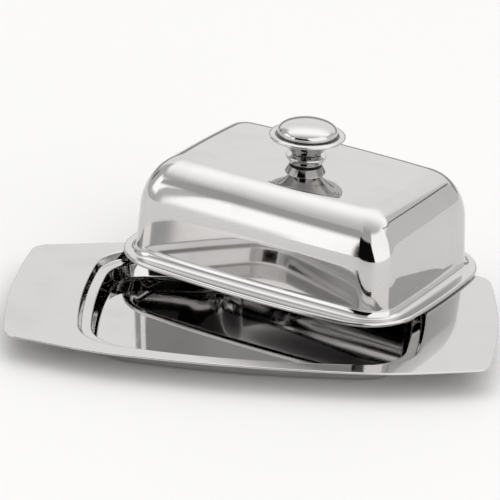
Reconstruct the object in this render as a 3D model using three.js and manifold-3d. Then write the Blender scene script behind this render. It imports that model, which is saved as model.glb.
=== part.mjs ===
// Butter dish: a pressed stainless tray with a shallow well and two wings, and a domed
// lid with a turned knob, set down askew on the tray's rim.
// Millimetres, +Z up. The origin is the middle of the tray's flat underside, +X runs
// along the tray and the lid lies towards +Y.
import * as THREE from "three";
import Module from "manifold-3d";
import { mergeVertices } from "three/addons/utils/BufferGeometryUtils.js";

// ---- sheet and fits ----
const SHEET = 0.8; // thickness of the pressed sheet
const SEAT_GAP = 0.1; // clearance between stacked pieces of the knob
const LID_GAP = 0.3; // clearance between the lid's edge and the tray's rim

// ---- tray ----
const TRAY = {
  rimTop: 10, // height of the flat rim's top face
  halfLength: 95, // middle to the tip of a wing
  halfWidth: 56.3, // middle of a long side
  sideBow: 0.001, // y = halfWidth - sideBow * x^2 along a long side
  wingStart: 56.8, // x where a long side turns into the taper of a wing
  wingTaper: 0.27, // slope of a wing's edge
  endRadius: 273, // radius of a wing's end
  cornerRadius: 7.1,
  edgeRadius: 0.25, // rounding of the cut edge
};
// outline of the well's mouth and of its flat floor
const WELL_MOUTH = { halfLength: 67.6, halfWidth: 50.4, corner: 20, endBow: 5.5, sideBow: 7 };
const WELL_FLOOR = { halfLength: 58.8, halfWidth: 41.3, corner: 17, endBow: 3.5, sideBow: 5.5 };
// the wall between them steps down over a narrow ledge
const WELL = {
  upperLean: 32, // degrees from upright, the wall above the ledge
  lowerLean: 15, // and the wall below it
  lipRadius: 1, // bend from the rim into the upper wall
  lipDrop: 2.6, // rim to ledge
  grooveRadius: 0.8, // bend from the upper wall into the ledge
  brinkRadius: 0.9, // bend from the ledge into the lower wall
  footRadius: 1.4, // bend from the lower wall into the floor
};

// ---- lid ----
const LID = {
  x: 15.3, // middle of the lid as it lies
  y: 48.6,
  yaw: -26.6, // degrees about +Z
  height: 41.3, // lower edge to the top face
  hem: 0.6, // straight part of the turned-down edge
  hemRadius: 1.1, // bend from the hem into the ledge
  ledgeWidth: 7.5, // outer edge to the foot of the wall
  footRadius: 4, // bend from the ledge into the wall
  draft: 3.2, // degrees, lean of the wall
  shoulderReach: 14.8, // half an ellipse's width: the bend from the wall into the top, across
  shoulderDrop: 22.2, // and half its height
  screwHole: 2.3, // radius
};
const LID_EDGE = { halfLength: 66.3, halfWidth: 48.7, corner: 24.4, endBow: 3.5, sideBow: 5 };
const LID_WALL = { halfLength: 58.8, halfWidth: 41.2, corner: 12, endBow: 1, sideBow: 1.9 };
const LID_TOP_CORNER = 4.4; // corner radius of the flat top

// ---- knob, heights above the lid's top face ----
const SEAL = { inner: 2.6, outer: 6.4, height: 0.5 };
const COLLAR = { bore: 2.6, foot: 6.7, radius: 8.1, rim: 0.5, height: 3.2 };
const NECK = { bore: 2.3, foot: 5.3, floor: 0.8, sheet: 0.8, flange: 15.3, flangeTop: 12.7, bead: 0.5 };
const CAP = { radius: 12.1, skirt: 1, height: 4.3, sheet: 0.8, groove: 0.3, seatDepth: 0.7 };
const INSERT = { radius: 3.9, bore: 2.15, height: 5, blind: 1 };
const WASHER = { inner: 2.2, outer: 5, height: 0.8 };
const SCREW = {
  shank: 1.9,
  head: 3.8,
  headHeight: 2.2,
  reach: 8.4,
  slot: 0.9,
  slotLength: 4,
  slotDepth: 1.2,
};

// ---- facets ----
const END_STEPS = 2; // per half of a short side
const CORNER_STEPS = 7;
const SIDE_STEPS = 4; // per half of a long side
const BEND_STEPS = 3;
const SHOULDER_STEPS = 7;
const TURNED_STEPS = 32;

const STEEL = { color: 0xd6d4d2, roughness: 0.08, metalness: 1 };
const CAST_STEEL = { color: 0xb9b6b3, roughness: 0.25, metalness: 1 };
const RUBBER = { color: 0x151515, roughness: 0.7, metalness: 0 };

const radians = THREE.MathUtils.degToRad;
const mix = THREE.MathUtils.lerp;

function named(name, geometry, look) {
  const mesh = new THREE.Mesh(geometry, new THREE.MeshStandardMaterial(look));
  mesh.name = name;
  return mesh;
}

// ---- outlines ----

// points on an arc about (x, y), both ends included
function arc(x, y, radius, from, to, steps) {
  return Array.from({ length: steps + 1 }, (_, i) => {
    const angle = mix(from, to, i / steps);
    return [x + radius * Math.cos(angle), y + radius * Math.sin(angle)];
  });
}

// mirrors a run of points from (+x, 0) to (0, +y) into a whole outline
function fourQuarters(quarter) {
  const flip = (sx, sy) => quarter.map(([x, y]) => [sx * x, sy * y]);
  return [
    ...quarter,
    ...flip(-1, 1).reverse().slice(1),
    ...flip(-1, -1).slice(1),
    ...flip(1, -1).reverse().slice(1, -1),
  ];
}

// a rectangle whose sides are bowed out, with a corner arc tangent to both neighbours
function bowedRectangle({ halfLength, halfWidth, corner, endBow, sideBow }) {
  const sideRadius = (halfLength ** 2 + sideBow ** 2) / (2 * sideBow);
  const endRadius = (halfWidth ** 2 + endBow ** 2) / (2 * endBow);
  const sideY = halfWidth - sideRadius;
  const endX = halfLength - endRadius;
  // the corner's centre is one corner radius inside both arcs
  const fromSide = sideRadius - corner;
  const fromEnd = endRadius - corner;
  const apart = Math.hypot(endX, sideY);
  const along = (fromSide ** 2 - fromEnd ** 2 + apart ** 2) / (2 * apart);
  const across = Math.sqrt(fromSide ** 2 - along ** 2);
  const ux = endX / apart;
  const uy = -sideY / apart;
  const x = ux * along + uy * across;
  const y = sideY + uy * along - ux * across;
  const endAngle = Math.atan2(y, x - endX);
  const sideAngle = Math.atan2(y - sideY, x);
  return fourQuarters([
    ...arc(endX, 0, endRadius, 0, endAngle, END_STEPS).slice(0, -1),
    ...arc(x, y, corner, endAngle, sideAngle, CORNER_STEPS).slice(0, -1),
    ...arc(0, sideY, sideRadius, sideAngle, Math.PI / 2, SIDE_STEPS),
  ]);
}

// the outline a share t of the way from one bowed rectangle to another
function between(from, to, t) {
  return Object.fromEntries(Object.keys(from).map((key) => [key, mix(from[key], to[key], t)]));
}

// the tray's edge, drawn in by inset: a bowed side, a tapered wing, a corner and a curved end
function trayEdge(inset) {
  const corner = TRAY.cornerRadius - inset;
  const endRadius = TRAY.endRadius - inset;
  const endX = TRAY.halfLength - TRAY.endRadius;
  const slope = Math.atan(TRAY.wingTaper);
  const bendY = TRAY.halfWidth - TRAY.sideBow * TRAY.wingStart ** 2;
  // the taper, moved in by the inset and the corner's radius, meets the end moved in the same way
  const lift = (inset + corner) / Math.cos(slope);
  const edgeY = (x, down) => bendY - (x - TRAY.wingStart) * TRAY.wingTaper - down;
  let x = TRAY.halfLength - TRAY.cornerRadius;
  for (let pass = 0; pass < 20; pass += 1) {
    x = endX + Math.sqrt((endRadius - corner) ** 2 - edgeY(x, lift) ** 2);
  }
  const y = edgeY(x, lift);
  const side = Array.from({ length: SIDE_STEPS + 1 }, (_, i) => {
    const sideX = mix(TRAY.wingStart, 0, i / SIDE_STEPS);
    return [sideX, TRAY.halfWidth - TRAY.sideBow * sideX ** 2 - inset];
  });
  const endAngle = Math.atan2(y, x - endX);
  return fourQuarters([
    ...arc(endX, 0, endRadius, 0, endAngle, END_STEPS).slice(0, -1),
    ...arc(x, y, corner, endAngle, Math.PI / 2 - slope, CORNER_STEPS - 1),
    ...side,
  ]);
}

function circle(radius, like) {
  return like.map(([x, y]) => {
    const length = Math.hypot(x, y);
    return [(x * radius) / length, (y * radius) / length];
  });
}

// ---- skins ----

// one closed body through rings of equal length: a tray closes on a point at each end of
// the run, and a lid closes on itself
function skin(rings, closesOnItself) {
  const count = rings[0].points.length;
  const positions = rings.flatMap(({ points, z }) => points.flatMap(([x, y]) => [x, y, z]));
  const index = [];
  const band = (a, b) => {
    for (let i = 0; i < count; i += 1) {
      const next = (i + 1) % count;
      index.push(a + i, b + i, b + next, a + i, b + next, a + next);
    }
  };
  for (let row = 0; row + 1 < rings.length; row += 1) {
    band(row * count, (row + 1) * count);
  }
  if (closesOnItself) {
    band((rings.length - 1) * count, 0);
  } else {
    const first = positions.length / 3;
    const last = (rings.length - 1) * count;
    positions.push(0, 0, rings[0].z, 0, 0, rings[rings.length - 1].z);
    for (let i = 0; i < count; i += 1) {
      const next = (i + 1) % count;
      index.push(first, i, next);
      index.push(first + 1, last + next, last + i);
    }
  }
  const geometry = new THREE.BufferGeometry();
  geometry.setAttribute("position", new THREE.Float32BufferAttribute(positions, 3));
  geometry.setIndex(index);
  return geometry;
}

// ---- tray ----

// the well's section, floor first: share of the way from the floor's outline to the
// mouth's, and the height, for a face that lies back by depth from the top face
function wellSection(depth) {
  const { lipRadius, lipDrop, grooveRadius, brinkRadius, footRadius } = WELL;
  const upper = radians(WELL.upperLean);
  const lower = radians(WELL.lowerLean);
  const reach = (lean) => Math.tan((Math.PI / 2 - lean) / 2); // a bend's length over its radius
  const span = WELL_MOUTH.halfLength - WELL_FLOOR.halfLength;
  const ledgeZ = TRAY.rimTop - lipDrop;
  const lowerWall = (ledgeZ - SHEET) * Math.tan(lower);
  const brinkX = lowerWall + (footRadius + brinkRadius) * reach(lower);
  const upperWall = lipDrop * Math.tan(upper);
  const grooveX = span - upperWall - (lipRadius + grooveRadius) * reach(upper);
  const hollow = (x, z, radius, lean) => arc(
    x, z + radius, radius + depth, -Math.PI / 2, -lean, BEND_STEPS,
  );
  const crown = (x, z, radius, lean) => arc(
    x, z - radius, radius - depth, Math.PI - lean, Math.PI / 2, BEND_STEPS,
  );
  return [
    ...hollow(0, SHEET, footRadius, lower),
    ...crown(brinkX, ledgeZ, brinkRadius, lower),
    ...hollow(grooveX, ledgeZ, grooveRadius, upper),
    ...crown(span, TRAY.rimTop, lipRadius, upper),
  ].map(([x, z]) => ({ share: x / span, z }));
}

function wellRings(depth) {
  return wellSection(depth).map(({ share, z }) => ({
    points: bowedRectangle(between(WELL_FLOOR, WELL_MOUTH, share)),
    z,
  }));
}

function tray() {
  const edge = TRAY.edgeRadius;
  const under = TRAY.rimTop - SHEET;
  const rings = [
    ...wellRings(0),
    { points: trayEdge(edge), z: TRAY.rimTop },
    { points: trayEdge(0), z: TRAY.rimTop - edge },
    { points: trayEdge(0), z: under + edge },
    { points: trayEdge(edge), z: under },
    ...wellRings(SHEET).reverse(),
  ];
  return named("tray", skin(rings, false), STEEL);
}

// ---- lid ----

// outline of the lid at a distance in from its outer edge
function lidOutline(inset) {
  if (inset <= LID.ledgeWidth) {
    return bowedRectangle(between(LID_EDGE, LID_WALL, inset / LID.ledgeWidth));
  }
  const past = inset - LID.ledgeWidth;
  const share = past / LID.shoulderReach;
  return bowedRectangle({
    ...LID_WALL,
    halfLength: LID_WALL.halfLength - past,
    halfWidth: LID_WALL.halfWidth - past,
    corner: Math.max(mix(LID_WALL.corner, LID_TOP_CORNER, share), LID_TOP_CORNER),
  });
}

// a quarter of an ellipse from an angle up to its top
function ellipse(x, z, halfWidth, halfHeight, from, steps) {
  return Array.from({ length: steps + 1 }, (_, i) => {
    const angle = mix(from, Math.PI / 2, i / steps);
    return [x - halfWidth * Math.cos(angle), z + halfHeight * Math.sin(angle)];
  });
}

// the section of the lid's face that lies back by depth, as [inset, height] from the
// lower edge up to the flat top
function lidSection(depth) {
  const draft = radians(LID.draft);
  const { ledgeWidth, footRadius, shoulderReach, shoulderDrop } = LID;
  const ledge = LID.hem + LID.hemRadius;
  // the angle on the shoulder's ellipse where it leans as the wall does
  const tangent = (reach, drop) => Math.atan((drop / reach) * Math.tan(draft));
  const start = tangent(shoulderReach, shoulderDrop);
  const shoulderZ = LID.height - shoulderDrop;
  const wallTop = shoulderZ + shoulderDrop * Math.sin(start);
  const wallFoot = ledge + footRadius * (1 - Math.sin(draft));
  const lean = (wallTop - wallFoot) * Math.tan(draft);
  const shoulderX = ledgeWidth + lean + shoulderReach * Math.cos(start);
  const footX = ledgeWidth - footRadius * Math.cos(draft);
  const reach = shoulderReach - depth;
  const drop = shoulderDrop - depth;
  return [
    [depth, 0],
    ...arc(LID.hemRadius, LID.hem, LID.hemRadius - depth, Math.PI, Math.PI / 2, BEND_STEPS),
    ...arc(footX, ledge + footRadius, footRadius + depth, -Math.PI / 2, -draft, BEND_STEPS),
    ...ellipse(shoulderX, shoulderZ, reach, drop, tangent(reach, drop), SHOULDER_STEPS),
  ];
}

function lidShell() {
  const face = (depth) => {
    const rings = lidSection(depth).map(([inset, z]) => ({ points: lidOutline(inset), z }));
    const hole = circle(LID.screwHole, rings[0].points);
    return [...rings, { points: hole, z: LID.height - depth }];
  };
  return named("lid_shell", skin([...face(SHEET), ...face(0).reverse()], true), STEEL);
}

// ---- knob ----

function turned(profile, steps = TURNED_STEPS) {
  const points = [...profile, profile[0]].map(([r, z]) => new THREE.Vector2(r, z));
  const geometry = new THREE.LatheGeometry(points, steps);
  geometry.deleteAttribute("normal");
  geometry.deleteAttribute("uv");
  return mergeVertices(geometry.rotateX(Math.PI / 2), 1e-4);
}

function ring(inner, outer, low, high) {
  return turned([[inner, low], [outer, low], [outer, high], [inner, high]]);
}

// a smooth run of points through a few given ones
function smooth(points, steps) {
  const curve = new THREE.SplineCurve(points.map(([r, z]) => new THREE.Vector2(r, z)));
  return curve.getPoints(steps).map(({ x, y }) => [x, y]);
}

const collarFoot = SEAL.height + SEAT_GAP;
const neckFoot = collarFoot + COLLAR.height + SEAT_GAP;
const insertFoot = neckFoot + NECK.floor + SEAT_GAP;

function knobSeal() {
  return named("knob_seal", ring(SEAL.inner, SEAL.outer, SEAT_GAP / 2, SEAL.height), RUBBER);
}

// a ring that widens upwards from its foot to a rounded rim
function knobCollar() {
  const top = collarFoot + COLLAR.height;
  const profile = [
    [COLLAR.bore, collarFoot],
    [COLLAR.foot, collarFoot],
    ...arc(COLLAR.radius - COLLAR.rim, top - COLLAR.rim, COLLAR.rim, -0.4, Math.PI / 2, 5),
    [COLLAR.bore, top],
  ];
  return named("knob_collar", turned(profile), STEEL);
}

// a hollow trumpet that flares from its foot into a flange with a rounded edge
function knobNeck() {
  const { bore, foot, floor, sheet, flange, flangeTop, bead } = NECK;
  const outside = smooth([
    [foot, neckFoot], [foot + 0.6, neckFoot + 0.8], [foot + 2.1, neckFoot + 2.4],
    [foot + 4.3, neckFoot + 4.7], [foot + 6.9, neckFoot + 6.8], [flange - 1.2, flangeTop - 2 * bead],
  ], 12);
  const edge = arc(flange - bead, flangeTop - bead, bead, -1.2, Math.PI / 2, 4);
  const mouth = CAP.radius + CAP.groove;
  const seat = flangeTop - CAP.seatDepth;
  const inside = smooth([
    [CAP.radius - CAP.sheet, seat], [foot + 5.2, neckFoot + 6.6], [foot + 2.8, neckFoot + 4.3],
    [foot + 0.7, neckFoot + 2.2], [foot - sheet, neckFoot + floor],
  ], 9);
  const profile = [
    [bore, neckFoot],
    ...outside,
    ...edge,
    [mouth + CAP.groove, flangeTop],
    [mouth, seat],
    ...inside,
    [bore, neckFoot + floor],
  ];
  return named("knob_neck", turned(profile), STEEL);
}

// a pressed dome with a skirt that sits in the neck's mouth
function knobCap() {
  const foot = NECK.flangeTop - CAP.seatDepth + SEAT_GAP;
  const spring = NECK.flangeTop + CAP.skirt;
  const steps = 8;
  const dome = (radius, height) => Array.from({ length: steps + 1 }, (_, i) => {
    const angle = (i / steps) * (Math.PI / 2);
    const share = i === steps ? 0 : Math.cos(angle) ** 0.85;
    return [radius * share, spring + height * Math.sin(angle)];
  });
  const outside = dome(CAP.radius, CAP.height);
  const inside = dome(CAP.radius - CAP.sheet, CAP.height - CAP.sheet);
  const profile = [[CAP.radius, foot], ...outside, ...inside.reverse(), [CAP.radius - CAP.sheet, foot]];
  return named("knob_cap", turned(profile), STEEL);
}

// the threaded block that the lid's screw pulls against, blind at its top
function knobInsert() {
  const top = insertFoot + INSERT.height;
  const profile = [
    [INSERT.bore, insertFoot],
    [INSERT.radius, insertFoot],
    [INSERT.radius, top],
    [0, top],
    [0, top - INSERT.blind],
    [INSERT.bore, top - INSERT.blind],
  ];
  return named("knob_insert", turned(profile, 24), CAST_STEEL);
}

const washerTop = -SHEET - SEAT_GAP;
const headTop = washerTop - WASHER.height - SEAT_GAP;

function screwWasher() {
  const geometry = ring(WASHER.inner, WASHER.outer, washerTop - WASHER.height, washerTop);
  return named("screw_washer", geometry, CAST_STEEL);
}

const wasm = await Module();
wasm.setup();

function solidOf(geometry) {
  const bare = geometry.clone();
  bare.deleteAttribute("normal");
  bare.deleteAttribute("uv");
  const merged = mergeVertices(bare, 1e-4);
  return new wasm.Manifold(new wasm.Mesh({
    numProp: 3,
    vertProperties: new Float32Array(merged.attributes.position.array),
    triVerts: new Uint32Array(merged.index.array),
  }));
}

function geometryOf(solid) {
  const { vertProperties, triVerts } = solid.getMesh();
  const geometry = new THREE.BufferGeometry();
  geometry.setAttribute("position", new THREE.BufferAttribute(vertProperties, 3));
  geometry.setIndex(new THREE.BufferAttribute(triVerts, 1));
  return geometry;
}

// a pan-head machine screw, head down, with a cross recess
function lidScrew() {
  const low = headTop - SCREW.headHeight;
  const profile = [
    [0, low],
    [SCREW.head - 1.3, low],
    [SCREW.head - 0.4, low + 0.5],
    [SCREW.head, low + 1.2],
    [SCREW.head, headTop],
    [SCREW.shank, headTop],
    [SCREW.shank, SCREW.reach - 0.5],
    [SCREW.shank - 0.5, SCREW.reach],
    [0, SCREW.reach],
  ];
  let screw = solidOf(turned(profile, 24));
  for (const turn of [0, Math.PI / 2]) {
    const slot = new THREE.BoxGeometry(SCREW.slotLength, SCREW.slot, 2 * SCREW.slotDepth);
    screw = screw.subtract(solidOf(slot.rotateZ(turn).translate(0, 0, low)));
  }
  return named("lid_screw", geometryOf(screw), CAST_STEEL);
}

// ---- assembly ----

const knob = new THREE.Group();
knob.position.z = LID.height;
knob.add(knobSeal(), knobCollar(), knobNeck(), knobCap(), knobInsert(), screwWasher(), lidScrew());

const lid = new THREE.Group();
lid.position.set(LID.x, LID.y, TRAY.rimTop + LID_GAP);
lid.rotation.z = radians(LID.yaw);
lid.add(lidShell(), knob);

const butterDish = new THREE.Group();
butterDish.add(tray(), lid);

export default butterDish;
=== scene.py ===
"""Butter dish: a mirror-polished pressed tray and a domed lid with a turned knob, dressed
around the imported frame. Outlines and sections below are in millimetres, meshes in metres."""

import math

import bpy
from mathutils import Matrix, Vector


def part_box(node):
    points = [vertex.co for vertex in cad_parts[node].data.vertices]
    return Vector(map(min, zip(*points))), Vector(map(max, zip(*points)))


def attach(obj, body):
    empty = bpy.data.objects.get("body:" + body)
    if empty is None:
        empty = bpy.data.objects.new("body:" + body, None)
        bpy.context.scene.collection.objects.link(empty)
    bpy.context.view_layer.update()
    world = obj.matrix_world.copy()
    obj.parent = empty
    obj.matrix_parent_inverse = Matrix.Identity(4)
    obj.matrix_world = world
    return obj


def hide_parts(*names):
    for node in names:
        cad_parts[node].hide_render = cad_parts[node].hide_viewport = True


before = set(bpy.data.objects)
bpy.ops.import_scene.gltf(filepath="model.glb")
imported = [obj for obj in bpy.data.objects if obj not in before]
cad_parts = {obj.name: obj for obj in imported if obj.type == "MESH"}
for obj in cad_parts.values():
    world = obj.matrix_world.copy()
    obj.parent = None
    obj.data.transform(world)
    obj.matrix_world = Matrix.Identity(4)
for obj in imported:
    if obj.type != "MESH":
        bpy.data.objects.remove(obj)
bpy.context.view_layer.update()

MM = 0.001
SHEET = 0.8

# ---- where the frame puts things ----
tray_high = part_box("tray")[1]
shell_low, shell_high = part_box("lid_shell")
cap_low, cap_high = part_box("knob_cap")
RIM_TOP = tray_high.z / MM
HALF_LENGTH = tray_high.x / MM
HALF_WIDTH = tray_high.y / MM
LID_HEIGHT = (shell_high.z - shell_low.z) / MM
LID_YAW = math.radians(-26.6)
knob_axis = (cap_low + cap_high) / 2
lid_frame = (
    Matrix.Translation((knob_axis.x, knob_axis.y, shell_low.z)) @ Matrix.Rotation(LID_YAW, 4, "Z")
)

# ---- outlines ----


def arc(x, y, radius, start, stop, steps):
    angles = [start + (stop - start) * i / steps for i in range(steps + 1)]
    return [(x + radius * math.cos(a), y + radius * math.sin(a)) for a in angles]


def mix(a, b, t):
    return a + (b - a) * t


def four_quarters(quarter):
    """A run of points from (+x, 0) to (0, +y), mirrored into a whole outline."""
    def flip(sx, sy):
        return [(sx * x, sy * y) for x, y in quarter]
    return quarter + flip(-1, 1)[::-1][1:] + flip(-1, -1)[1:] + flip(1, -1)[::-1][1:-1]


END_STEPS, CORNER_STEPS, SIDE_STEPS = 8, 24, 14  # of a quarter of an outline


def bowed_rectangle(half_length, half_width, corner, end_bow, side_bow):
    """A rectangle with bowed sides and a corner arc tangent to both neighbours."""
    side_radius = (half_length**2 + side_bow**2) / (2 * side_bow)
    end_radius = (half_width**2 + end_bow**2) / (2 * end_bow)
    side_y, end_x = half_width - side_radius, half_length - end_radius
    from_side, from_end = side_radius - corner, end_radius - corner
    apart = math.hypot(end_x, side_y)
    along = (from_side**2 - from_end**2 + apart**2) / (2 * apart)
    across = math.sqrt(from_side**2 - along**2)
    ux, uy = end_x / apart, -side_y / apart
    x, y = ux * along + uy * across, side_y + uy * along - ux * across
    end_angle, side_angle = math.atan2(y, x - end_x), math.atan2(y - side_y, x)
    return four_quarters(
        arc(end_x, 0, end_radius, 0, end_angle, END_STEPS)[:-1]
        + arc(x, y, corner, end_angle, side_angle, CORNER_STEPS)[:-1]
        + arc(0, side_y, side_radius, side_angle, math.pi / 2, SIDE_STEPS)
    )


def between(a, b, t):
    """The tuple a share t of the way from a to b."""
    return tuple(mix(p, q, t) for p, q in zip(a, b))


# ---- mesh building ----


def piece(name, points, faces, body, replaced, material, place=None):
    """A smooth-shaded object from points in millimetres, riding on a body for a CAD node."""
    mesh = bpy.data.meshes.new(name)
    moved = [Vector(p) * MM for p in points]
    if place is not None:
        moved = [place @ p for p in moved]
    mesh.from_pydata(moved, [], faces)
    mesh.validate()
    mesh.update()
    for polygon in mesh.polygons:
        polygon.use_smooth = True
    made = bpy.data.objects.new(name, mesh)
    bpy.context.scene.collection.objects.link(made)
    mesh.materials.append(material)
    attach(made, body)
    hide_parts(replaced)
    return made


def skin(rings, closes_on_itself):
    """Points and faces through rings of equal length, closed by a point at both ends or on itself."""
    count = len(rings[0][0])
    points = [(x, y, z) for outline, z in rings for x, y in outline]
    faces = []

    def band(a, b):
        for i in range(count):
            j = (i + 1) % count
            faces.append((a + i, b + i, b + j, a + j))

    for row in range(len(rings) - 1):
        band(row * count, (row + 1) * count)
    last = (len(rings) - 1) * count
    if closes_on_itself:
        band(last, 0)
    else:
        first = len(points)
        points += [(0, 0, rings[0][1]), (0, 0, rings[-1][1])]
        for i in range(count):
            j = (i + 1) % count
            faces.append((first, i, j))
            faces.append((first + 1, last + j, last + i))
    return points, faces


TURNED_STEPS = 96


def turned(profile):
    """Points and faces of a closed profile of (radius, height) turned about the knob's axis."""
    points, rows = [], []
    for r, z in profile:
        if r < 1e-6:
            rows.append([len(points)] * TURNED_STEPS)
            points.append((0, 0, z))
        else:
            rows.append(list(range(len(points), len(points) + TURNED_STEPS)))
            for i in range(TURNED_STEPS):
                a = 2 * math.pi * i / TURNED_STEPS
                points.append((r * math.cos(a), r * math.sin(a), z))
    faces = []
    for k in range(len(rows)):
        low, high = rows[k], rows[(k + 1) % len(rows)]
        for i in range(TURNED_STEPS):
            j = (i + 1) % TURNED_STEPS
            ring = [low[i], low[j], high[j], high[i]]
            ring = [v for n, v in enumerate(ring) if v not in ring[:n]]
            if len(ring) > 2:
                faces.append(tuple(ring))
    return points, faces


# ---- materials ----


class Shade:
    """A node material: a principled shader, with textures worked out in the object's own metres."""

    def __init__(self, name, colour, metallic):
        self.material = bpy.data.materials.new(name)
        self.material.use_nodes = True
        self.tree = self.material.node_tree
        self.tree.nodes.clear()
        out = self.node("ShaderNodeOutputMaterial")
        self.shader = self.node("ShaderNodeBsdfPrincipled")
        self.tree.links.new(self.shader.outputs["BSDF"], out.inputs["Surface"])
        self.shader.inputs["Base Color"].default_value = (*colour, 1)
        self.shader.inputs["Metallic"].default_value = metallic
        self.place = self.node("ShaderNodeTexCoord").outputs["Object"]
        self.lift = None

    def node(self, kind):
        return self.tree.nodes.new(kind)

    def put(self, value, socket):
        if isinstance(value, (int, float, tuple)):
            socket.default_value = value
        else:
            self.tree.links.new(value, socket)

    def math(self, operation, a, b=0.0):
        node = self.node("ShaderNodeMath")
        node.operation = operation
        self.put(a, node.inputs[0])
        self.put(b, node.inputs[1])
        return node.outputs[0]

    def rise(self, value, start, stop, low=0.0, high=1.0):
        node = self.node("ShaderNodeMapRange")
        node.interpolation_type = "SMOOTHSTEP"
        for socket, number in zip(node.inputs[:5], (value, start, stop, low, high)):
            self.put(number, socket)
        return node.outputs["Result"]

    def turned_place(self, turn, stretch):
        """The place turned by three angles in degrees, then stretched along each axis."""
        node = self.node("ShaderNodeMapping")
        self.put(self.place, node.inputs["Vector"])
        node.inputs["Rotation"].default_value = [math.radians(angle) for angle in turn]
        node.inputs["Scale"].default_value = stretch
        return node.outputs[0]

    def noise(self, size_mm, detail=2.0, place=None):
        """Noise whose lumps are about size_mm across, from 0 to 1."""
        node = self.node("ShaderNodeTexNoise")
        self.put(self.place if place is None else place, node.inputs["Vector"])
        node.inputs["Scale"].default_value = 1 / (size_mm * MM)
        node.inputs["Detail"].default_value = detail
        return node.outputs["Fac"]

    def scratches(self, turn, width_mm, length_mm, rarity):
        """Fine straight scratches in one direction, 1 on a scratch and 0 off it."""
        along = width_mm / length_mm
        place = self.turned_place(turn, (1.0, along, 1.0))
        lines = self.noise(width_mm, 1.0, place)
        return self.rise(lines, rarity, rarity + 0.04)

    def bump(self, height, depth_mm):
        """Stacks a bump on those before it; depth_mm is the height between 0 and 1."""
        node = self.node("ShaderNodeBump")
        node.inputs["Strength"].default_value = 1.0
        node.inputs["Distance"].default_value = depth_mm * MM
        self.put(height, node.inputs["Height"])
        if self.lift is not None:
            self.put(self.lift, node.inputs["Normal"])
        self.lift = node.outputs[0]
        self.put(self.lift, self.shader.inputs["Normal"])

    def tone(self, dark, light, share):
        """Colours the surface between two shades."""
        node = self.node("ShaderNodeMix")
        node.data_type = "RGBA"
        self.put(share, node.inputs[0])
        self.put((*dark, 1), node.inputs[6])
        self.put((*light, 1), node.inputs[7])
        self.put(node.outputs[2], self.shader.inputs["Base Color"])

    def edges(self, start=0.53, stop=0.6):
        """1 along outward edges, 0 on flats."""
        return self.rise(self.node("ShaderNodeNewGeometry").outputs["Pointiness"], start, stop)


STEEL_TONE = (0.60, 0.592, 0.587)
DULL_SHARE = 0.94  # of the steel's tone, where it is smudged or rubbed
SHEET_ROUGHNESS, TURNED_ROUGHNESS = 0.035, 0.03
TRAY_WAVINESS, LID_WAVINESS = 0.012, 0.014  # mm


def polished_sheet(name, waviness_mm):
    """Mirror-polished pressed sheet: faint drawing waves, wiping scratches, smudges, rubbed edges."""
    shade = Shade(name, STEEL_TONE, 1.0)
    wiped = shade.scratches((0, 0, 24), 0.12, 26, 0.66)
    for turn in ((0, 0, -38), (63, 0, 81)):
        wiped = shade.math("MAXIMUM", wiped, shade.scratches(turn, 0.1, 18, 0.68))
    smudge = shade.rise(shade.noise(22, 3.0), 0.45, 0.75)
    rubbed = shade.math("MULTIPLY", shade.edges(), shade.noise(1.5, 3.0))
    rough = shade.math("ADD", SHEET_ROUGHNESS, shade.math("MULTIPLY", smudge, 0.012))
    rough = shade.math("ADD", rough, shade.math("MULTIPLY", wiped, 0.05))
    rough = shade.math("ADD", rough, shade.math("MULTIPLY", rubbed, 0.08))
    shade.put(rough, shade.shader.inputs["Roughness"])
    shade.bump(shade.noise(26, 1.0), waviness_mm)
    shade.bump(shade.noise(0.7, 2.0), 0.0004)
    shade.bump(wiped, 0.0006)
    dull = tuple(DULL_SHARE * tone for tone in STEEL_TONE)
    shade.tone(STEEL_TONE, dull, shade.math("MAXIMUM", smudge, rubbed))
    return shade.material


def turned_steel(name):
    """Polished turned steel: fine rings about the knob's axis, and a few scratches across them."""
    shade = Shade(name, STEEL_TONE, 1.0)
    split = shade.node("ShaderNodeSeparateXYZ")
    shade.put(shade.place, split.inputs[0])
    across = shade.math("SUBTRACT", split.outputs[0], knob_axis.x)
    along = shade.math("SUBTRACT", split.outputs[1], knob_axis.y)
    reach = shade.math("SQRT", shade.math(
        "ADD", shade.math("MULTIPLY", across, across), shade.math("MULTIPLY", along, along)
    ))
    ring = shade.node("ShaderNodeCombineXYZ")
    shade.put(reach, ring.inputs[0])
    shade.put(split.outputs[2], ring.inputs[1])
    marks = shade.noise(0.18, 1.0, ring.outputs[0])
    wiped = shade.scratches((20, 0, 50), 0.08, 9, 0.68)
    rubbed = shade.edges(0.54, 0.62)
    worn = shade.math("MAXIMUM", wiped, rubbed)
    rough = shade.math("ADD", TURNED_ROUGHNESS, shade.math("MULTIPLY", marks, 0.02))
    rough = shade.math("ADD", rough, shade.math("MULTIPLY", worn, 0.05))
    shade.put(rough, shade.shader.inputs["Roughness"])
    shade.bump(marks, 0.0003)
    shade.bump(wiped, 0.0005)
    return shade.material


def seal_rubber():
    """Matt black rubber with a fine moulded grain."""
    shade = Shade("seal rubber", (0.012, 0.012, 0.012), 0.0)
    rough = shade.rise(shade.noise(3, 3.0), 0.3, 0.7, 0.45, 0.65)
    shade.put(rough, shade.shader.inputs["Roughness"])
    shade.bump(shade.noise(0.25, 3.0), 0.01)
    shade.tone((0.010, 0.010, 0.010), (0.022, 0.022, 0.023), shade.noise(4, 3.0))
    return shade.material


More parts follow.
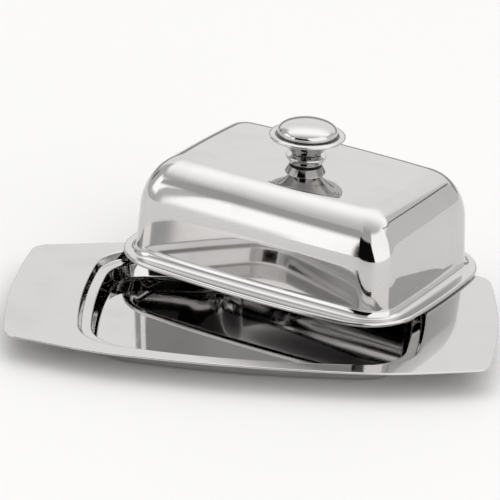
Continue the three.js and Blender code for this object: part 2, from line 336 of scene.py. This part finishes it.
def fastener_steel():
    """Plain machined steel, brushed one way, with dark in its pits and bright worn edges."""
    shade = Shade("fastener steel", (0.5, 0.49, 0.48), 1.0)
    grain = shade.noise(0.12, 2.0, shade.turned_place((0, 0, 30), (1.0, 0.06, 1.0)))
    shade.put(shade.rise(grain, 0.2, 0.8, 0.2, 0.38), shade.shader.inputs["Roughness"])
    shade.bump(grain, 0.004)
    shade.tone((0.42, 0.41, 0.40), (0.62, 0.61, 0.60), shade.math("MAXIMUM", grain, shade.edges()))
    return shade.material


tray_polished = polished_sheet("tray steel", TRAY_WAVINESS)
lid_polished = polished_sheet("lid steel", LID_WAVINESS)
knob_polished = turned_steel("knob steel")
rubber = seal_rubber()
fastener = fastener_steel()

FLAT_RING = 0.3  # distance of a ring on a flat face from the bend beside it

# ---- tray ----
# outlines are half length, half width, corner radius, and bow of the ends and of the sides
WELL_MOUTH = (67.6, 50.4, 20, 5.5, 7)
WELL_FLOOR = (58.8, 41.3, 17, 3.5, 5.5)
UPPER_LEAN, LOWER_LEAN = math.radians(32), math.radians(15)  # from upright, beside the ledge
LIP_RADIUS, LIP_DROP = 1, 2.6
GROOVE_RADIUS, BRINK_RADIUS, FOOT_RADIUS = 0.8, 0.9, 1.4
SIDE_BOW = 0.001  # a long side falls back by this times x squared
WING_START = 56.8
WING_TAPER = 0.27
WING_SOFT = 9  # half length of the bend from a side into a wing
END_RADIUS = 273
TRAY_CORNER = 7.1
EDGE_RADIUS = 0.3
SOFT_BEND_STEPS, STRAIGHT_STEPS = 8, 10
# the edge's corner takes the points that make its rings as long as the well's
TRAY_CORNER_STEPS = CORNER_STEPS + SIDE_STEPS - SOFT_BEND_STEPS - 1 - STRAIGHT_STEPS


def tray_edge(inset):
    """The tray's edge, drawn in by inset."""
    corner, end_radius = TRAY_CORNER - inset, END_RADIUS - inset
    end_x = HALF_LENGTH - END_RADIUS
    slope = math.atan(WING_TAPER)
    bend_y = HALF_WIDTH - SIDE_BOW * WING_START**2
    lift = (inset + corner) / math.cos(slope)

    def taper_y(x, down):
        return bend_y - (x - WING_START) * WING_TAPER - down

    x = HALF_LENGTH - TRAY_CORNER
    for _ in range(20):
        x = end_x + math.sqrt((end_radius - corner) ** 2 - taper_y(x, lift) ** 2)
    y = taper_y(x, lift)
    end_angle = math.atan2(y, x - end_x)
    # the side runs into the taper through a soft bend
    soft_from = WING_START - WING_SOFT
    soft_to = WING_START + WING_SOFT
    a = (soft_from, HALF_WIDTH - SIDE_BOW * soft_from**2 - inset)
    b = (soft_to, taper_y(soft_to, inset / math.cos(slope)))
    a_slope = -2 * SIDE_BOW * soft_from
    cx = (b[1] - a[1] + a_slope * a[0] + WING_TAPER * b[0]) / (a_slope + WING_TAPER)
    c = (cx, a[1] + a_slope * (cx - a[0]))
    bend = []
    for i in range(SOFT_BEND_STEPS + 1):
        t = 1 - i / SOFT_BEND_STEPS
        bend.append(tuple(
            (1 - t) ** 2 * p + 2 * t * (1 - t) * q + t * t * r for p, q, r in zip(a, c, b)
        ))
    along = [mix(soft_from, 0, i / STRAIGHT_STEPS) for i in range(1, STRAIGHT_STEPS + 1)]
    side = [(side_x, HALF_WIDTH - SIDE_BOW * side_x**2 - inset) for side_x in along]
    return four_quarters(
        arc(end_x, 0, end_radius, 0, end_angle, END_STEPS)[:-1]
        + arc(x, y, corner, end_angle, math.pi / 2 - slope, TRAY_CORNER_STEPS)
        + bend + side
    )


def well_section(depth, steps=10):
    """Floor, lower wall, ledge, upper wall and lip, with rings on the flats beside each bend."""
    def reach(lean):
        return math.tan((math.pi / 2 - lean) / 2)

    def hollow(x, z, radius, lean):
        bend = arc(x, z + radius, radius + depth, -math.pi / 2, -lean, steps)
        return [(x - FLAT_RING, z - depth)] + bend

    def crown(x, z, radius, lean):
        bend = arc(x, z - radius, radius - depth, math.pi - lean, math.pi / 2, steps)
        return bend + [(x + FLAT_RING, z - depth)]

    def wall(below, above):
        return [between(below[-1], above[0], share) for share in (0.06, 0.94)]

    span = WELL_MOUTH[0] - WELL_FLOOR[0]
    ledge = RIM_TOP - LIP_DROP
    lower_wall = (ledge - SHEET) * math.tan(LOWER_LEAN)
    upper_wall = LIP_DROP * math.tan(UPPER_LEAN)
    brink_x = lower_wall + (FOOT_RADIUS + BRINK_RADIUS) * reach(LOWER_LEAN)
    groove_x = span - upper_wall - (LIP_RADIUS + GROOVE_RADIUS) * reach(UPPER_LEAN)
    foot = hollow(0, SHEET, FOOT_RADIUS, LOWER_LEAN)
    brink = crown(brink_x, ledge, BRINK_RADIUS, LOWER_LEAN)
    groove = hollow(groove_x, ledge, GROOVE_RADIUS, UPPER_LEAN)
    lip = crown(span, RIM_TOP, LIP_RADIUS, UPPER_LEAN)
    section = foot + wall(foot, brink) + brink + groove + wall(groove, lip) + lip
    return [(x / span, z) for x, z in section]


def well_rings(depth):
    return [(bowed_rectangle(*between(WELL_FLOOR, WELL_MOUTH, share)), z)
            for share, z in well_section(depth)]


def edge_rings():
    """The rounded cut edge, from the top face round to the underside."""
    under = RIM_TOP - SHEET
    r = EDGE_RADIUS
    top = arc(r, RIM_TOP - r, r, math.pi / 2, math.pi, 5)
    low = arc(r, under + r, r, math.pi, 1.5 * math.pi, 5)
    run = [(r + FLAT_RING, RIM_TOP)] + top + low + [(r + FLAT_RING, under)]
    return [(tray_edge(inset), z) for inset, z in run]


tray_rings = well_rings(0) + edge_rings() + well_rings(SHEET)[::-1]
points, faces = skin(tray_rings, False)
piece("tray_pressing", points, faces, "tray", "tray", tray_polished)

# ---- lid ----
LID_EDGE = (66.3, 48.7, 24.4, 3.5, 5)
LID_WALL = (58.8, 41.2, 12, 1, 1.9)
TOP_CORNER = 4.4
HEM, HEM_RADIUS = 0.6, 1.1
LEDGE = 7.5
LID_FOOT = 4
DRAFT = math.radians(3.2)
SHOULDER_REACH = 14.8  # the shoulder is a quarter of an ellipse
SHOULDER_DROP = 22.2
SCREW_HOLE, HOLE_MARGIN = 2.3, 1
SHOULDER_STEPS = 40


def lid_outline(inset):
    """The lid's outline at a distance in from its outer edge."""
    if inset <= LEDGE:
        return bowed_rectangle(*between(LID_EDGE, LID_WALL, inset / LEDGE))
    past = inset - LEDGE
    length, width, corner, end_bow, side_bow = LID_WALL
    corner = max(mix(corner, TOP_CORNER, past / SHOULDER_REACH), TOP_CORNER)
    return bowed_rectangle(length - past, width - past, corner, end_bow, side_bow)


def lid_section(depth):
    """The face that lies back by depth, as (inset, height) from the lower edge to the top."""
    def tangent(reach, drop):
        return math.atan(drop / reach * math.tan(DRAFT))

    ledge = HEM + HEM_RADIUS
    start = tangent(SHOULDER_REACH, SHOULDER_DROP)
    shoulder_z = LID_HEIGHT - SHOULDER_DROP
    wall_top = shoulder_z + SHOULDER_DROP * math.sin(start)
    wall_foot = ledge + LID_FOOT * (1 - math.sin(DRAFT))
    lean = (wall_top - wall_foot) * math.tan(DRAFT)
    shoulder_x = LEDGE + lean + SHOULDER_REACH * math.cos(start)
    foot_x = LEDGE - LID_FOOT * math.cos(DRAFT)
    reach, drop = SHOULDER_REACH - depth, SHOULDER_DROP - depth
    hem = arc(HEM_RADIUS, HEM, HEM_RADIUS - depth, math.pi, math.pi / 2, 10)
    foot = arc(foot_x, ledge + LID_FOOT, LID_FOOT + depth, -math.pi / 2, -DRAFT, 10)
    shoulder = []
    for i in range(SHOULDER_STEPS + 1):
        a = mix(tangent(reach, drop), math.pi / 2, i / SHOULDER_STEPS)
        shoulder.append((shoulder_x - reach * math.cos(a), shoulder_z + drop * math.sin(a)))
    shelf = [(hem[-1][0] + FLAT_RING, ledge - depth), (foot[0][0] - FLAT_RING, ledge - depth)]
    wall = [between(foot[-1], shoulder[0], share) for share in (0.02, 0.2, 0.4, 0.6, 0.8, 0.98)]
    top = [(shoulder[-1][0] + FLAT_RING, LID_HEIGHT - depth)]
    return hem + shelf + foot + wall + shoulder + top


def lid_face(depth):
    """Rings from the lower edge up to the screw's hole, with one beside it that keeps the top flat."""
    rings = [(lid_outline(inset), z) for inset, z in lid_section(depth)]
    for radius in (SCREW_HOLE + HOLE_MARGIN, SCREW_HOLE):
        hole = []
        for x, y in rings[0][0]:
            length = math.hypot(x, y)
            hole.append((x * radius / length, y * radius / length))
        rings.append((hole, LID_HEIGHT - depth))
    return rings


LOWER_EDGE_STEPS = 6


def lower_edge():
    """The half-round lower edge of the sheet, from the outer face to the inner one."""
    half = SHEET / 2
    angles = [math.pi * i / LOWER_EDGE_STEPS for i in range(LOWER_EDGE_STEPS + 1)]
    return [(lid_outline(half - half * math.cos(a)), half - half * math.sin(a)) for a in angles]


points, faces = skin(lid_face(SHEET) + lid_face(0)[::-1] + lower_edge(), True)
piece("lid_pressing", points, faces, "lid", "lid_shell", lid_polished, lid_frame)

# ---- knob ----
knob_frame = lid_frame @ Matrix.Translation((0, 0, LID_HEIGHT * MM))
GAP = 0.1
SEAL_BORE, SEAL_RADIUS, SEAL_HEIGHT, SEAL_ROUND = 2.6, 6.4, 0.5, 0.15
COLLAR_BORE, COLLAR_FOOT, COLLAR_RADIUS, COLLAR_RIM, COLLAR_HEIGHT = 2.6, 6.7, 8.1, 0.5, 3.2
COLLAR_ROUND, COLLAR_SLOPE = 0.2, -0.4  # its foot's rounding, and the angle its side faces
NECK_BORE, NECK_FOOT, NECK_FLOOR, NECK_SHEET = 2.3, 5.3, 0.8, 0.8
FLANGE, FLANGE_TOP, BEAD_HEIGHT = 15.3, 12.7, 1.8
CAP_RADIUS, CAP_SKIRT, CAP_HEIGHT, CAP_SHEET, GROOVE, SEAT_DEPTH = 12.1, 1, 4.3, 0.8, 0.15, 0.7
collar_z = SEAL_HEIGHT + GAP
neck_z = collar_z + COLLAR_HEIGHT + GAP


def smooth(points, steps):
    """A Catmull-Rom run through the given points."""
    run = []
    spans = len(points) - 1
    for i in range(steps + 1):
        at = min(i * spans / steps, spans - 1e-9)
        k, t = int(at), at - int(at)
        p0, p1 = points[max(k - 1, 0)], points[k]
        p2, p3 = points[k + 1], points[min(k + 2, spans)]
        run.append(tuple(
            0.5 * (2 * b + (c - a) * t + (2 * a - 5 * b + 4 * c - d) * t * t
                   + (3 * b - a - 3 * c + d) * t**3)
            for a, b, c, d in zip(p0, p1, p2, p3)
        ))
    return run


def knob_piece(name, profile, replaced, material):
    """A turned piece on the knob's axis, with heights above the lid's top face."""
    points, faces = turned(profile)
    return piece(name, points, faces, "lid", replaced, material, knob_frame)


knob_piece(
    "seal_ring",
    [(SEAL_BORE, GAP / 2), (SEAL_RADIUS - 0.1, GAP / 2)]
    + arc(SEAL_RADIUS - SEAL_ROUND, SEAL_HEIGHT - SEAL_ROUND, SEAL_ROUND, 0, math.pi / 2, 6)
    + [(SEAL_BORE, SEAL_HEIGHT)],
    "knob_seal", rubber,
)
collar_top = collar_z + COLLAR_HEIGHT
knob_piece(
    "collar_ring",
    [(COLLAR_BORE, collar_z)]
    + arc(COLLAR_FOOT - COLLAR_ROUND, collar_z + COLLAR_ROUND, COLLAR_ROUND,
          -math.pi / 2, COLLAR_SLOPE, 6)
    + arc(COLLAR_RADIUS - COLLAR_RIM, collar_top - COLLAR_RIM, COLLAR_RIM,
          COLLAR_SLOPE, math.pi / 2, 14)
    + [(COLLAR_BORE, collar_top)],
    "knob_collar", knob_polished,
)
outside = smooth([
    (NECK_FOOT, neck_z), (NECK_FOOT + 0.6, neck_z + 0.8), (NECK_FOOT + 2.1, neck_z + 2.4),
    (NECK_FOOT + 4.3, neck_z + 4.7), (NECK_FOOT + 6.9, neck_z + 6.8),
    (FLANGE - 1.6, FLANGE_TOP - BEAD_HEIGHT),
], 50)
seat = FLANGE_TOP - SEAT_DEPTH
inside = smooth([
    (CAP_RADIUS - CAP_SHEET, seat), (NECK_FOOT + 5.2, neck_z + 6.6), (NECK_FOOT + 2.8, neck_z + 4.3),
    (NECK_FOOT + 0.7, neck_z + 2.2), (NECK_FOOT - NECK_SHEET, neck_z + NECK_FLOOR),
], 24)
mouth = CAP_RADIUS + GROOVE


BEAD_START, BEAD_END, BEAD_STEPS = -1.2, math.pi - 0.28, 36


def bead():
    """The flange's rounded rim: part of an ellipse between the cap's groove and the edge."""
    middle, half = (FLANGE + mouth) / 2, (FLANGE - mouth) / 2
    run = []
    for i in range(BEAD_STEPS + 1):
        a = mix(BEAD_START, BEAD_END, i / BEAD_STEPS)
        z = FLANGE_TOP - BEAD_HEIGHT / 2 * (1 - math.sin(a))
        run.append((middle + half * math.cos(a), z))
    return run


knob_piece(
    "knob_trumpet",
    [(NECK_BORE, neck_z)] + outside
    + bead()
    + [(mouth, seat)] + inside + [(NECK_BORE, neck_z + NECK_FLOOR)],
    "knob_neck", knob_polished,
)
cap_foot = seat + GAP
cap_spring = FLANGE_TOP + CAP_SKIRT


DOME_STEPS = 32
DOME_FULLNESS = 0.85  # below 1 fills the dome out past an ellipse


def dome(radius, height):
    run = []
    for i in range(DOME_STEPS + 1):
        a = i / DOME_STEPS * math.pi / 2
        out = radius * max(math.cos(a), 0) ** DOME_FULLNESS
        run.append((out, cap_spring + height * math.sin(a)))
    run[-1] = (0, cap_spring + height)
    return run


knob_piece(
    "knob_button",
    [(CAP_RADIUS, cap_foot)] + dome(CAP_RADIUS, CAP_HEIGHT)
    + dome(CAP_RADIUS - CAP_SHEET, CAP_HEIGHT - CAP_SHEET)[::-1]
    + [(CAP_RADIUS - CAP_SHEET, cap_foot)],
    "knob_cap", knob_polished,
)

# ---- carried-over fasteners ----
for name in ("knob_insert", "screw_washer", "lid_screw"):
    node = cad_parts[name]
    node.data.materials.clear()
    node.data.materials.append(fastener)

# ---- floor ----
FLOOR_REACH = 3  # metres each way
FLOOR_TONE = (0.9, 0.9, 0.9, 1)
floor_material = bpy.data.materials.new("pale floor")
floor_material.use_nodes = True
floor_shader = floor_material.node_tree.nodes["Principled BSDF"]
floor_shader.inputs["Base Color"].default_value = FLOOR_TONE
floor_mesh = bpy.data.meshes.new("floor")
floor_corners = [(FLOOR_REACH * x, FLOOR_REACH * y, 0) for x, y in ((-1, -1), (1, -1), (1, 1), (-1, 1))]
floor_mesh.from_pydata(floor_corners, [], [(0, 1, 2, 3)])
floor = bpy.data.objects.new("floor", floor_mesh)
bpy.context.scene.collection.objects.link(floor)
floor_mesh.materials.append(floor_material)

# ---- the light tent round the dish, as a world of soft panels and gaps ----
# Azimuth is in degrees from the front, positive to the right; elevation is above the floor.
TENT_STRENGTH = 1.25
TENT_TINT = (1.0, 0.99, 0.985, 1)
BACKDROP_TONE = (0.97, 0.97, 0.97, 1)
world = bpy.data.worlds.new("studio")
bpy.context.scene.world = world
world.use_nodes = True
tent = world.node_tree
tent.nodes.clear()


def math_node(operation, *values):
    node = tent.nodes.new("ShaderNodeMath")
    node.operation = operation
    for socket, value in zip(node.inputs, values):
        if isinstance(value, (int, float)):
            socket.default_value = value
        else:
            tent.links.new(value, socket)
    return node.outputs[0]


def ramp(value, start, stop, low=0.0, high=1.0):
    """low before start, high after stop, and a soft rise between."""
    node = tent.nodes.new("ShaderNodeMapRange")
    node.interpolation_type = "SMOOTHSTEP"
    tent.links.new(value, node.inputs["Value"])
    for name, number in zip(("From Min", "From Max", "To Min", "To Max"), (start, stop, low, high)):
        node.inputs[name].default_value = number
    return node.outputs["Result"]


def blend(under, over, mask):
    node = tent.nodes.new("ShaderNodeMix")
    node.data_type = "FLOAT"
    for socket, value in zip(node.inputs[:1] + node.inputs[2:4], (mask, under, over)):
        if isinstance(value, (int, float)):
            socket.default_value = value
        else:
            tent.links.new(value, socket)
    return node.outputs[0]


direction = tent.nodes.new("ShaderNodeTexCoord").outputs["Generated"]
split = tent.nodes.new("ShaderNodeSeparateXYZ")
tent.links.new(direction, split.inputs[0])
to_right, to_back, to_top = split.outputs
DEGREES = 180 / math.pi
azimuth = math_node(
    "MULTIPLY", math_node("ARCTAN2", to_right, math_node("MULTIPLY", to_back, -1.0)), DEGREES
)
elevation = math_node("MULTIPLY", math_node("ARCSINE", to_top), DEGREES)


def panel(under, glow, left, right, low, high, soft=4.0, left_soft=None, right_soft=None,
          low_soft=None, high_soft=None, right_lean=0.0):
    """Paints glow over under between two azimuths and two elevations, with soft edges.
    right_lean is how far the right edge moves in azimuth for each degree up."""
    middle = (left + right) / 2
    half = (right - left) / 2
    off = math_node("WRAP", math_node("SUBTRACT", azimuth, middle), 180.0, -180.0)
    edges = []
    for side, lean, width in ((-1, 0.0, left_soft), (1, right_lean, right_soft)):
        width = soft if width is None else width
        at = math_node("SUBTRACT", off, math_node("MULTIPLY", elevation, lean))
        inward = math_node("MULTIPLY", at, float(-side))
        edges.append(ramp(inward, -half - width / 2, -half + width / 2))
    width = soft if low_soft is None else low_soft
    edges.append(ramp(elevation, low - width / 2, low + width / 2))
    width = soft if high_soft is None else high_soft
    edges.append(ramp(elevation, high - width / 2, high + width / 2, 1.0, 0.0))
    mask = edges[0]
    for edge in edges[1:]:
        mask = math_node("MULTIPLY", mask, edge)
    return blend(under, glow, mask)


def slanted_gap(under, glow, left, right, left_height, right_height, width):
    """Paints a narrow gap that runs from one azimuth and height to another."""
    slope = (right_height - left_height) / (right - left)
    line = math_node("ADD", math_node("MULTIPLY", math_node("SUBTRACT", azimuth, left), slope),
                     left_height)
    off = math_node("ABSOLUTE", math_node("SUBTRACT", elevation, line))
    across = ramp(off, width * 0.2, width * 0.7, 1.0, 0.0)
    along = math_node("MULTIPLY", ramp(azimuth, left - 3, left + 3),
                      ramp(azimuth, right - 3, right + 3, 1.0, 0.0))
    return blend(under, glow, math_node("MULTIPLY", across, along))


# each panel: brightness, left, right, low, high
glow = ramp(to_back, -0.5, 0.35, 0.56, 1.27)
# back wall, and the dark foot of the tent behind the table
glow = panel(glow, 0.87, 124, 232, -20, 45, soft=8, high_soft=30)
glow = panel(glow, 0.30, 134, 224, -6, 13, soft=6, high_soft=8)
# left wall and its bright window
glow = panel(glow, 0.50, -140, -62, -30, 46, soft=6, high_soft=14)
glow = panel(glow, 1.3, -98, -64.5, 10, 36, soft=8, right_soft=1.5)
# left front: a grey flag over a white strip
glow = panel(glow, 0.40, -72, -34, 27, 43, soft=5, low_soft=6, right_soft=10)
glow = panel(glow, 0.42, -40, 8, 36, 60, soft=8, high_soft=16)
glow = panel(glow, 1.3, -61, -45.5, -30, 27, left_soft=1.5, right_soft=2, high_soft=10)
glow = panel(glow, 0.8, -61, -51, -30, 3, soft=3, low_soft=2, high_soft=10)
# right front white, right grey
glow = panel(glow, 1.2, 6, 84, -30, 52, soft=10, high_soft=10)
glow = panel(glow, 0.62, 82, 134, -30, 36, soft=6, high_soft=10)
# front opening, narrower towards its top
glow = panel(glow, 0.004, -45.5, 20, -30, 34, soft=2, high_soft=6, right_lean=-0.55)
# gaps between the tent's sheets
glow = slanted_gap(glow, 0.12, 83, 134, 48, 20, 2.4)
glow = panel(glow, 0.10, 229, 237, 8, 22, soft=3)

tint = tent.nodes.new("ShaderNodeMix")
tint.data_type = "RGBA"
tint.blend_type = "MULTIPLY"
tint.inputs[0].default_value = 1.0
tent.links.new(glow, tint.inputs[6])
tint.inputs[7].default_value = TENT_TINT
background = tent.nodes.new("ShaderNodeBackground")
tent.links.new(tint.outputs[2], background.inputs["Color"])
background.inputs["Strength"].default_value = TENT_STRENGTH
# what is seen past the floor's edge is plain and pale; the steel still mirrors the tent
backdrop = tent.nodes.new("ShaderNodeBackground")
backdrop.inputs["Color"].default_value = BACKDROP_TONE
light_path = tent.nodes.new("ShaderNodeLightPath")
seen_or_mirrored = tent.nodes.new("ShaderNodeMixShader")
tent.links.new(light_path.outputs["Is Camera Ray"], seen_or_mirrored.inputs[0])
tent.links.new(background.outputs[0], seen_or_mirrored.inputs[1])
tent.links.new(backdrop.outputs[0], seen_or_mirrored.inputs[2])
world_out = tent.nodes.new("ShaderNodeOutputWorld")
tent.links.new(seen_or_mirrored.outputs[0], world_out.inputs[0])

# ---- camera ----
CAMERA_AZIMUTH = math.radians(2.789)
CAMERA_ELEVATION = math.radians(24.504)
CAMERA_DISTANCE = 1.2
CAMERA_ROLL = math.radians(3.035)
AIM = Vector((-0.002535, 0, 0.0331))
SENSOR, LENS = 36, 221.6
NEAREST, FARTHEST = 0.05, 50
camera_data = bpy.data.cameras.new("camera")
camera = bpy.data.objects.new("camera", camera_data)
bpy.context.scene.collection.objects.link(camera)
stand = CAMERA_DISTANCE * Vector((
    math.sin(CAMERA_AZIMUTH) * math.cos(CAMERA_ELEVATION),
    -math.cos(CAMERA_AZIMUTH) * math.cos(CAMERA_ELEVATION),
    math.sin(CAMERA_ELEVATION),
))
back = (stand - AIM).normalized()
right = Vector((0, 0, 1)).cross(back).normalized()
up = back.cross(right)
turn = Matrix((right, up, back)).transposed().to_4x4() @ Matrix.Rotation(CAMERA_ROLL, 4, "Z")
camera.matrix_world = Matrix.Translation(stand) @ turn
camera_data.sensor_width = SENSOR
camera_data.lens = LENS
camera_data.clip_start = NEAREST
camera_data.clip_end = FARTHEST
bpy.context.scene.camera = camera
bpy.context.scene.view_settings.view_transform = "Standard"
